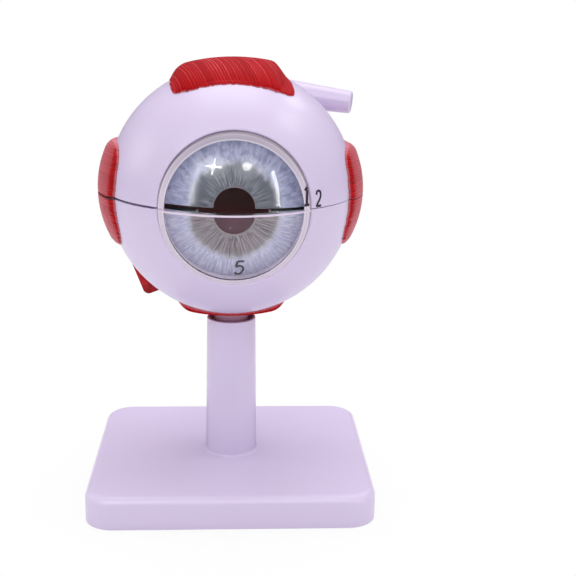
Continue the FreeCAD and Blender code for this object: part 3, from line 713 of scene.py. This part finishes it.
def moulded_plastic(name, main, shade, gloss, mottle=0.5, peel=0.00003, coat=0.0):
    """Plastic straight from the mould."""
    made, tree, shader = material(name, Coat_Weight=coat, Coat_Roughness=0.15)
    skin = tree.nodes.new("ShaderNodeGroup")
    skin.node_tree = MOULDED
    for label, value in (("Colour", main), ("Shade", shade), ("Mottle", mottle), ("Gloss", gloss)):
        skin.inputs[label].default_value = value
    wire(skin.outputs["Colour"], shader)
    wire(skin.outputs["Roughness"], shader, "Roughness")
    bump(tree, shader, skin.outputs["Height"], peel)
    return made


def painted_over(made, share, paint):
    """Material whose colour is covered by a paint where share is one."""
    shader = made.node_tree.nodes["Principled BSDF"]
    skin = shader.inputs["Base Color"].links[0].from_socket
    wire(mix_colour(made.node_tree, share, skin, paint), shader)
    return made


# ---- materials ----
KEPT = {}


def kept(maker):
    """Makes a material once and hands the same one out again."""
    def hand_out(*settings):
        key = (maker.__name__,) + settings
        if key not in KEPT:
            KEPT[key] = maker(*settings)
        return KEPT[key]
    return hand_out


MOUTH_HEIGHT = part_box("post")[1].z
MOUTH_RADIUS = 11.2 * MM


@kept
def lilac_plastic():
    """Pale lilac; inside the mouth of the post it carries a painted reflection of the red muscle above it
    and painted shade.
    """
    made = moulded_plastic("lilac_plastic", colour(214, 200, 229), colour(209, 194, 225), 0.34)
    tree = made.node_tree
    level = add(tree, "VectorMath", [(0, here(tree)), (1, (1, 1, 0))], operation="MULTIPLY")
    reach = length_of(tree, level.outputs[0])
    away = unsigned(tree, height_over(tree, MOUTH_HEIGHT))
    # painted reflection and painted shade: a reddish dark tint inside the mouth of the post
    inside = times(tree, math_node(tree, "LESS_THAN", reach, MOUTH_RADIUS),
                   remap(tree, away, 2.0 * MM, 6.0 * MM, 0.65, 0.0))
    return painted_over(made, inside, colour(150, 44, 96))


@kept
def muscle_red(painted_sheen):
    """Red fibres with painted shade in the grooves, some pale, and a painted sheen that makes them paler
    where they are seen at a low angle.
    """
    made, tree, shader = material("muscle_red", Specular_IOR_Level=0.03 + 0.1 * painted_sheen)
    red, brighter, groove_shade = colour(166, 3, 10), colour(182, 4, 14), colour(96, 2, 10)
    pale_line, darker, pale_border = colour(222, 96, 106), colour(132, 8, 18), colour(226, 150, 162)
    cloud = noise(tree, here(tree), 120.0, 3.0)
    tone, fibre = field(tree, "tone"), field(tree, "fibre")
    crest = times(tree, remap(tree, tone, 0.1, 0.8, 0.15, 1.0), remap(tree, fibre, 0.9, 0.96))
    crest = times(tree, crest, remap(tree, field(tree, "run"), 0.04, 0.5, 0.05, 1.0))
    aside = add(tree, "LayerWeight", [("Blend", 0.5)]).outputs["Facing"]
    body = coats(tree, mix_colour(tree, tone, red, brighter),
                 # painted shade: darker red in the grooves between the fibres
                 (remap(tree, fibre, 0.4, 0.75, 0.9, 0.0), groove_shade),
                 (crest, pale_line),
                 (remap(tree, cloud, 0.45, 0.65, 0.0, 0.2), darker),
                 # paler colour along the border of the muscle
                 (remap(tree, field(tree, "rim"), 0.0, 0.6, 0.4, 0.0), pale_border),
                 # painted sheen: paler pink where the surface is seen at a low angle
                 (remap(tree, aside, 0.35, 1.0, 0.0, painted_sheen), colour(232, 158, 172)))
    wire(body, shader)
    wire(remap(tree, cloud, 0.3, 0.7, 0.4, 0.55), shader, "Roughness")
    return made


@kept
def strip_red():
    """Red fibres painted on a plain strip, as lines along its length."""
    made, tree, shader = material("strip_red", Roughness=0.45, Specular_IOR_Level=0.22)
    turned = add(tree, "Mapping", [("Vector", here(tree)), ("Scale", (120.0, 900.0, 120.0))])
    lines = noise(tree, turned.outputs[0], 1.0, 3.0)
    body = mix_colour(tree, remap(tree, lines, 0.35, 0.65), colour(138, 6, 14), colour(196, 30, 38))
    wire(body, shader)
    bump(tree, shader, lines, 0.0003)
    return made


IRIS_COLOURS = {                               # of the upper half and of the lower half; the upper half is painted darker and bluer as painted shade, the lower half lighter and warmer as painted light
    "inner": ((90, 95, 106), (132, 124, 128)),
    "outer": ((188, 192, 220), (222, 218, 237)),
    "shade": ((122, 130, 166), (160, 165, 198)),
    "ink": ((26, 28, 36), (58, 28, 44)),
    "light": ((184, 188, 198), (200, 190, 200)),
    "edge": ((84, 92, 124), (104, 110, 148)),
}


@kept
def iris_paint(upper):
    """Two painted rings with rays: grey-blue outside, greyer inside; the upper half is darker and bluer as
    painted shade.
    """
    made, tree, shader = material("iris_paint_upper" if upper else "iris_paint_lower", Roughness=0.55)
    inner, outer, shade, ink, light, edge = (colour(*pair[0 if upper else 1])
                                             for pair in IRIS_COLOURS.values())
    pale_share, streaked, patches = (0.55, 0.4, 14.0) if upper else (0.5, 0.75, 30.0)
    out = field(tree, "out")
    polar = add(tree, "CombineXYZ", [(0, times(tree, field(tree, "turn"), patches)),
                                     (1, times(tree, out, 7.0))])
    mottle = noise(tree, polar.outputs[0], 1.0, 5.0)
    cloud = noise(tree, here(tree), 160.0, 4.0)
    fuzz = times(tree, remap(tree, cloud, 0.42, 0.58, 0.1, 0.6), field(tree, "fringe"))
    outer = coats(tree, outer, (remap(tree, mottle, 0.4, 0.65, 0.0, 0.75), shade),
                  (remap(tree, cloud, 0.5, 0.65, 0.0, 0.4), colour(204, 206, 226)))
    body = coats(tree, mix_colour(tree, field(tree, "ring"), inner, outer),
                 (fuzz, colour(200, 202, 216)),
                 (field(tree, "dark"), ink),
                 (times(tree, field(tree, "pale"), pale_share), light),
                 (times(tree, field(tree, "streak"), streaked), shade),
                 (remap(tree, out, 0.0, 0.02, 0.45, 0.0), colour(176, 150, 158)),
                 (times(tree, field(tree, "rim"), 0.7), edge))
    wire(body, shader)
    return made


def lets_light_through(tree, surface, tint):
    """Lamps and soft light pass straight through, as they do through thin clear plastic."""
    clear = add(tree, "BsdfTransparent", [(0, tint)])
    path = add(tree, "LightPath")
    soft = math_node(tree, "MAXIMUM", path.outputs["Is Shadow Ray"], path.outputs["Is Diffuse Ray"])
    last = add(tree, "MixShader", [(0, soft), (1, surface), (2, clear.outputs[0])])
    tree.links.new(last.outputs[0], tree.nodes["Material Output"].inputs["Surface"])


@kept
def clear_cornea():
    """Clear plastic, pale and frosted on its wall and along its sawn edge; the frosted ring is painted pale
    in place of the lit lilac wall seen through it, with painted shade towards its top, a painted highlight
    line inside and a painted shade line of the gap outside.
    """
    made, tree, shader = material(
        "clear_cornea", Base_Color=(0.97, 0.965, 0.985, 1), Transmission_Weight=1.0, Roughness=0.02,
        IOR=1.35, Coat_Weight=0.12, Coat_Roughness=0.24)
    height = height_over(tree, BALL_HEIGHT)
    away = unsigned(tree, height)
    near, edge = (math_node(tree, "LESS_THAN", away, reach) for reach in (1.5 * MM, 0.42 * MM))
    sawn = math_node(tree, "MAXIMUM", times(tree, near, level_face(tree)), edge)
    reach = field(tree, "reach")
    rings = add(tree, "CombineXYZ", [(0, times(tree, reach, 2600.0))])
    line = remap(tree, noise(tree, rings.outputs[0], 1.0, 1.0), 0.42, 0.58)
    front = math_node(tree, "LESS_THAN", field(tree, "depth"), RING_DEPTH)
    wall = times(tree, remap(tree, reach, RING_START, RING_FULL, 0.0, 0.93),
                 math_node(tree, "MAXIMUM", field(tree, "inner"), front))
    pale = mix_colour(tree, line, colour(190, 178, 198), colour(236, 223, 239))
    shaded = mix_colour(tree, line, colour(100, 92, 110), colour(172, 163, 182))
    highlight_line, gap_shade_line, saw_cut = colour(240, 231, 243), colour(132, 118, 130), colour(228, 210, 230)
    # painted shade: the frosted ring is darker towards its top
    pale = coats(tree, pale, (remap(tree, height, 8 * MM, 32 * MM, 0.0, 0.75), shaded),
                 # painted highlight line along the inner edge of the ring
                 (remap(tree, reach, RING_FULL, RING_HIGHLIGHT_END, 0.6, 0.0), highlight_line),
                 # painted shade line of the gap between cornea and opening
                 (remap(tree, reach, *RING_GAP_SHADE, 0.0, 0.8), gap_shade_line),
                 (sawn, saw_cut))
    frost = add(tree, "BsdfPrincipled", [("Base Color", pale), ("Roughness", 0.5)])
    frosted = math_node(tree, "MAXIMUM", sawn, wall)
    face = add(tree, "MixShader", [(0, frosted), (1, shader.outputs[0]), (2, frost.outputs[0])])
    lets_light_through(tree, face.outputs[0], (0.99, 0.99, 1.0, 1))
    return made


def clear_plastic(name, tint, index):
    """Clear polished plastic that lets light through to what lies behind."""
    made, tree, shader = material(name, Base_Color=tint, Transmission_Weight=1.0, Roughness=0.03, IOR=index)
    lets_light_through(tree, shader.outputs[0], tint)
    return made


@kept
def clear_lens():
    """Clear lens with painted light below its middle: a faint mauve layer standing in for the lit lower
    back of the eye seen through it.
    """
    made = clear_plastic("clear_lens", (0.98, 0.97, 0.96, 1), 1.14)
    tree = made.node_tree
    # painted light: faint mauve below the middle of the lens
    painted_light_share = remap(tree, height_over(tree, BALL_HEIGHT), -4.3 * MM, -4.9 * MM, 0.0, 0.08)
    painted_light = add(tree, "BsdfPrincipled", [("Base Color", colour(214, 130, 190)), ("Roughness", 0.6)])
    last = tree.nodes["Material Output"].inputs["Surface"].links[0].from_node
    lens = last.inputs[1].links[0].from_socket
    body = add(tree, "MixShader", [(0, painted_light_share), (1, lens), (2, painted_light.outputs[0])])
    tree.links.new(body.outputs[0], last.inputs[1])
    return made


@kept
def clear_filling():
    """The clear body behind the lens."""
    return clear_plastic("clear_filling", (0.97, 0.98, 0.99, 1), 1.05)


@kept
def choroid_black():
    """Glossy black paint."""
    return moulded_plastic("choroid_black", colour(34, 28, 34), colour(48, 36, 44), 0.16, 0.8, 0.00005, 0.6)


@kept
def white_plastic():
    """White plastic, nearly black on its level faces near the seam."""
    made = moulded_plastic("white_plastic", colour(238, 234, 242), colour(226, 220, 234), 0.42)
    tree = made.node_tree
    away = unsigned(tree, height_over(tree, BALL_HEIGHT - INNER_DROP))
    # level faces near the seam are coloured nearly black
    sawn = times(tree, level_face(tree), math_node(tree, "LESS_THAN", away, 4.5 * MM))
    return painted_over(made, sawn, colour(30, 25, 30))


MACULA_SHADE_PLACE = (0.0, 51 * MM, BALL_HEIGHT - 2 * MM)     # back pole of the inner ball


@kept
def retina_orange():
    """Orange-red lining with a dark macula spot round its back pole, widened into painted shade."""
    made, tree, shader = material("retina_orange", Roughness=0.35)
    where = here(tree)
    cloud = remap(tree, noise(tree, where, 60.0, 4.0), 0.35, 0.65)
    to_macula_shade = add(tree, "VectorMath", [(0, where), (1, MACULA_SHADE_PLACE)], operation="DISTANCE")
    # painted shade: a dark spot round the back pole, wider than a macula
    macula_shade = remap(tree, to_macula_shade.outputs["Value"], 11 * MM, 19 * MM, 0.95, 0.0)
    body = mix_colour(tree, cloud, colour(226, 66, 56), colour(196, 42, 40))
    wire(mix_colour(tree, macula_shade, body, colour(52, 10, 18)), shader)
    return made


@kept
def number_ink():
    """Dark printing ink, a little uneven."""
    made, tree, shader = material("number_ink", Roughness=0.45)
    cloud = noise(tree, here(tree), 900.0, 2.0)
    wire(mix_colour(tree, cloud, colour(16, 2, 34), colour(34, 12, 58)), shader)
    return made


@kept
def plated_steel():
    """Zinc-plated steel with fine turning marks."""
    made, tree, shader = material("plated_steel", Metallic=1.0)
    marks = noise(tree, here(tree), 2200.0, 2.0)
    wire(mix_colour(tree, marks, colour(178, 180, 186), colour(206, 206, 210)), shader)
    wire(remap(tree, marks, 0.3, 0.7, 0.24, 0.4), shader, "Roughness")
    return made


FINISHES = {                                   # nodes that finer pieces replace get a plain one
    "lilac_plastic": lilac_plastic, "muscle_red": strip_red, "clear_cornea": clear_cornea,
    "iris_paint": white_plastic, "white_plastic": white_plastic, "choroid_black": choroid_black,
    "retina_orange": retina_orange, "clear_lens": clear_lens, "clear_filling": clear_filling,
    "plated_steel": plated_steel,
}


def finish_nodes():
    """Gives every CAD node the finish of its slot."""
    for part in frame["record"]["subparts"]:
        node = frame["nodes"][part["node"]]
        node.data.materials.clear()
        node.data.materials.append(FINISHES[part["material_slot"]]())


# ---- pieces ----
def numbers():
    """The plain numbers on the cornea, on the ball and on the iris."""
    def on_ball(turn, tip, radius):
        """Surface of a ball, turned to the side and up from its front pole."""
        def surface(across, up, lift):
            side = turn + across / radius
            rise = tip + up / radius
            out = radius + lift
            return on_lid(np.stack([out * np.cos(rise) * np.sin(side),
                                    -out * np.cos(rise) * np.cos(side), out * np.sin(rise)], -1))
        return surface

    def on_iris(x0, z0):
        def surface(across, up, lift):
            x, z = x0 + across, z0 + up
            return in_lower_inner(np.stack([x, iris_dome(np.hypot(x, z)) - lift, z], -1))
        return surface

    def on_cornea(x0, z0):
        """Outside of the cornea: its dome and the rounded shoulder."""
        def surface(across, up, lift):
            x, z = x0 + across, z0 + up
            r = np.hypot(x, z)
            on_dome = np.minimum(r, CORNEA_RIM)
            depth = CORNEA_RADIUS - CORNEA_REACH - np.sqrt(CORNEA_RADIUS ** 2 - on_dome ** 2)
            share = np.clip((r - CORNEA_RIM) / (CORNEA_SIDE - CORNEA_RIM), 0, 1)
            depth = depth + 3.0 * MM * (1 - np.sqrt(1 - 0.98 * share ** 2))
            return on_lid(np.stack([x, depth - lift, z], -1))
        return surface

    beside = on_ball(math.radians(39.3), math.radians(4.0), BALL_RADIUS + 0.05 * MM)
    number("1", 8.2 * MM, 5.4 * MM, on_cornea(31.8 * MM, 6.6 * MM), "lid")
    number("2", 6.9 * MM, 4.8 * MM, beside, "lid")
    number("5", 6.6 * MM, 6.4 * MM, on_iris(2.4 * MM, -25.7 * MM), "inner_lower", slant=0.16)


def camera():
    """Camera in front of the eye, a little above it, looking down."""
    p, w, r = CAMERA_PITCH, CAMERA_YAW, CAMERA_ROLL
    ahead = Vector((math.sin(w) * math.cos(p), math.cos(w) * math.cos(p), -math.sin(p)))
    right = Vector((math.cos(w), -math.sin(w), 0))
    up = right.cross(ahead)
    across = math.cos(r) * right + math.sin(r) * up
    above = -math.sin(r) * right + math.cos(r) * up
    data = bpy.data.cameras.new("camera")
    data.sensor_width = SENSOR_WIDTH
    data.lens = SENSOR_WIDTH * FOCAL_PIXELS / IMAGE_PIXELS
    data.clip_start = 0.01
    eye = bpy.data.objects.new("camera", data)
    eye.matrix_world = Matrix([(across[k], above[k], -ahead[k], CAMERA_PLACE[k]) for k in range(3)]
                              + [(0, 0, 0, 1)])
    bpy.context.scene.collection.objects.link(eye)
    bpy.context.scene.camera = eye


def lamp(name, place, size, power, lights=True, shines=True, shape="RECTANGLE"):
    """Soft box that looks at the eye; one may only light matt things or only be mirrored."""
    data = bpy.data.lights.new(name, "AREA")
    data.shape = shape
    data.size, data.size_y = size
    data.energy = power
    box = bpy.data.objects.new(name, data)
    box.location = place
    box.rotation_euler = (Vector((0, 0, BALL_HEIGHT)) - place).to_track_quat("-Z", "Y").to_euler()
    box.visible_diffuse = lights
    box.visible_glossy = shines
    box.visible_transmission = shines
    bpy.context.scene.collection.objects.link(box)


def round_the_eye(turn, tip, distance):
    """Place around the eye: turned from its gaze towards +X and up, in degrees."""
    turn, tip = math.radians(turn), math.radians(tip)
    return Vector((distance * math.cos(tip) * math.sin(turn), -distance * math.cos(tip) * math.cos(turn),
                   BALL_HEIGHT + distance * math.sin(tip)))


def lamps():
    """Windows mirrored in the cornea, with their glow, and the boxes that light the model."""
    cross = round_the_eye(-24, 38, 1.19)
    lamp("window_left", round_the_eye(-24, 38, 1.2), (0.07, 0.07), 0.8, lights=False)
    lamp("cross_level", cross, (0.36, 0.02), 1.1, lights=False)
    lamp("cross_upright", cross, (0.02, 0.36), 1.1, lights=False)
    lamp("window_right", round_the_eye(19, 39, 1.2), (0.2, 0.17), 1.1, lights=False, shape="ELLIPSE")
    for size, power in ((0.2, 0.4), (0.3, 0.6), (0.42, 0.9), (0.58, 1.2)):
        for side, turn in (("left", -22), ("right", 19)):
            lamp(f"glow_{side}_{size}", round_the_eye(turn, 38, 1.25), (size * 1.2, size), power,
                 lights=False, shape="ELLIPSE")
    for size, power in ((0.1, 0.9), (0.19, 0.9), (0.3, 1.0)):
        lamp(f"strip_left_{size}", round_the_eye(-43, 20, 1.2 + size / 10), (size, 0.8 + size), power,
             lights=False)
    lamp("strip_right", round_the_eye(49, 13, 1.2), (0.06, 0.75), 2.4, lights=False)
    lamp("strip_right_glow", round_the_eye(48, 15, 1.22), (0.14, 0.85), 0.9, lights=False)
    lamp("front_box", round_the_eye(2, 14, 1.3), (0.25, 0.15), 1.2, shines=False)
    lamp("shine_right", round_the_eye(135, 42, 1.1), (0.16, 0.16), 0.8, lights=False, shape="ELLIPSE")
    lamp("left_box", round_the_eye(-100, 20, 1.1), (0.4, 0.4), 1.2)
    lamp("side_box", round_the_eye(95, 50, 1.1), (0.3, 0.3), 1.5)
    lamp("top_box", round_the_eye(180, 72, 1.1), (0.8, 0.8), 4.2)


def surroundings():
    """White all round, brighter above; in mirror images nearly dark, so that the lamps show."""
    low, high, in_mirrors = 0.5, 1.25, 0.08
    world = bpy.data.worlds.new("studio")
    bpy.context.scene.world = world
    world.use_nodes = True
    tree = world.node_tree
    path = add(tree, "LightPath")
    plain = math_node(tree, "MAXIMUM", path.outputs["Is Camera Ray"], path.outputs["Is Transmission Ray"])
    towards = part_of(tree, add(tree, "TexCoord").outputs["Generated"], "Z")
    soft = math_node(tree, "MAXIMUM", plain, remap(tree, towards, 0, 1, low, high))
    mirrored = math_node(tree, "GREATER_THAN", path.outputs["Glossy Depth"], 0.5)
    dim = add(tree, "Mix", [(0, mirrored), (2, soft), (3, in_mirrors)])
    tree.links.new(dim.outputs[0], tree.nodes["Background"].inputs["Strength"])
    tree.nodes["Background"].inputs["Color"].default_value = (1, 1, 1, 1)


def seen_plainly(tree):
    """One for rays from the camera and for those that clear or glossy pieces send on."""
    path = add(tree, "LightPath")
    sent_on = math_node(tree, "MAXIMUM", path.outputs["Is Glossy Ray"], path.outputs["Is Transmission Ray"])
    return math_node(tree, "MAXIMUM", path.outputs["Is Camera Ray"], sent_on)


def floor():
    """Pale floor that shows the shadow at the foot of the model and is white further out."""
    half, shadow_start, shadow_end, shadow_white = 0.85, 0.06, 0.16, 0.86
    mesh = bpy.data.meshes.new("floor")
    corners = [(-half, -half, 0), (half, -half, 0), (half, half, 0), (-half, half, 0)]
    mesh.from_pydata(corners, [], [(0, 1, 2, 3)])
    plate = bpy.data.objects.new("floor", mesh)
    bpy.context.scene.collection.objects.link(plate)
    made, tree, shader = material("floor", Base_Color=(0.8, 0.8, 0.81, 1), Roughness=0.9)
    white = add(tree, "Emission", [(0, (1, 1, 1, 1)), (1, 1.0)])
    reach = length_of(tree, here(tree))
    away = remap(tree, reach, shadow_start, shadow_end, shadow_white, 1.0)
    share = times(tree, away, seen_plainly(tree))
    last = add(tree, "MixShader", [(0, share), (1, shader.outputs[0]), (2, white.outputs[0])])
    tree.links.new(last.outputs[0], tree.nodes["Material Output"].inputs["Surface"])
    mesh.materials.append(made)


finish_nodes()
superior_rectus()
inferior_rectus()
side_rectus("lateral_rectus_upper", -1, 1)
side_rectus("lateral_rectus_lower", -1, -1)
side_rectus("medial_rectus_upper", 1, 1)
side_rectus("medial_rectus_lower", 1, -1)
cornea_half("cornea_upper", True)
cornea_half("cornea_lower", False)
iris_half("iris_upper", True)
iris_half("iris_lower", False)
numbers()
camera()
lamps()
surroundings()
floor()
bpy.context.scene.view_settings.view_transform = "Standard"
